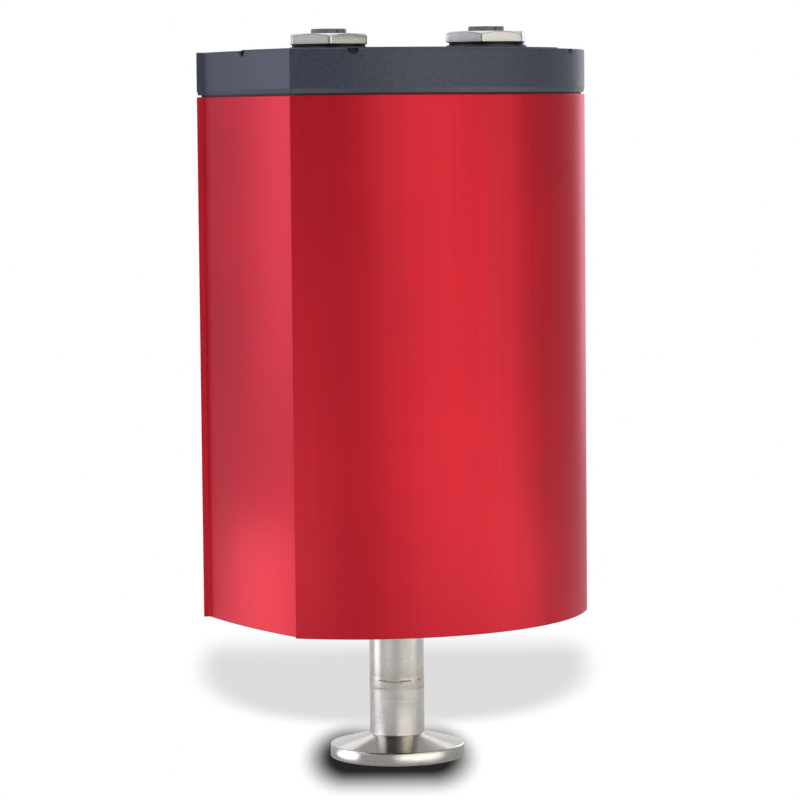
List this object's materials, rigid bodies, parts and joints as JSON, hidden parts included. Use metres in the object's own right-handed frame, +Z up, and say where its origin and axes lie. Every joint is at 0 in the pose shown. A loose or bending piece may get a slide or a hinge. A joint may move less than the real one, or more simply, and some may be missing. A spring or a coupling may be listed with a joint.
{
  "type": "capacitance diaphragm gauge",
  "caption": "Vacuum gauge with a red barrel-square housing, a dark cap with round plug sockets, and a slim steel neck ending in a small clamp flange.",
  "frame": {"origin": "centre of the flange's sealing face, on which the gauge stands", "axes": "+Z up along the neck, towards the cap; -Y is the front of the housing, the middle of one large arc; +X to the right seen from the front"},
  "size_m": [0.076, 0.076, 0.1625],
  "materials": {
    "anodised_housing": "red anodised, satin",
    "cap_coating": "fine-textured anthracite coating",
    "label_foil": "bare dark foil",
    "rubber": "matt black",
    "flange_steel": "turned and polished",
    "tube_steel": "satin, ground along and across",
    "weld_steel": "weld bead, brushed over",
    "nickelled_brass": "nickel plated, satin",
    "insert_plastic": "blue-grey moulding",
    "contact_gold": "gold plated",
    "screw_steel": "blackened steel",
    "plate_black": "black anodised",
    "ceramic": "white alumina",
    "getter_grey": "sintered",
    "collar_plastic": "glass-filled plastic",
    "circuit_board": "green solder mask",
    "component_black": "moulded packages",
    "tinned_can": "tinned sheet",
    "ribbon_grey": "flat cable"
  },
  "bodies": {
    "root": {"process_flange": "flange_steel", "weld_bead": "weld_steel", "sensor_housing": "tube_steel", "inlet_baffle": "tube_steel", "capsule_seal": "tinned_can", "sensor_base_ceramic": "ceramic", "diaphragm": "ceramic", "reference_ceramic": "ceramic", "getter": "getter_grey", "getter_lid": "ceramic", "electrode_pins": "contact_gold", "wave_spring": "tube_steel", "clamp_ring": "tube_steel", "sensor_board_posts": "screw_steel", "sensor_board": "circuit_board", "sensor_shield_can": "tinned_can", "housing_shell": "anodised_housing", "cap_gasket": "rubber", "top_cap": "cap_coating", "cap_label": "label_foil", "cap_screws": "screw_steel", "bottom_plate": "plate_black", "bottom_plate_screws": "screw_steel", "neck_grommet": "rubber", "sensor_support": "collar_plastic", "sensor_screws": "screw_steel", "main_board": "circuit_board", "power_converter": "component_black", "processor_chip": "component_black", "board_capacitors": "component_black", "sensor_plug": "component_black", "ribbon_cable": "ribbon_grey", "connector_board": "circuit_board", "board_link": "component_black", "front_socket_seal": "rubber", "front_socket_shell": "nickelled_brass", "front_socket_insert": "insert_plastic", "front_socket_contacts": "contact_gold", "front_socket_lock_nut": "nickelled_brass", "rear_socket_seal": "rubber", "rear_socket_shell": "nickelled_brass", "rear_socket_insert": "insert_plastic", "rear_socket_contacts": "contact_gold", "rear_socket_lock_nut": "nickelled_brass"}
  },
  "joints": []
}
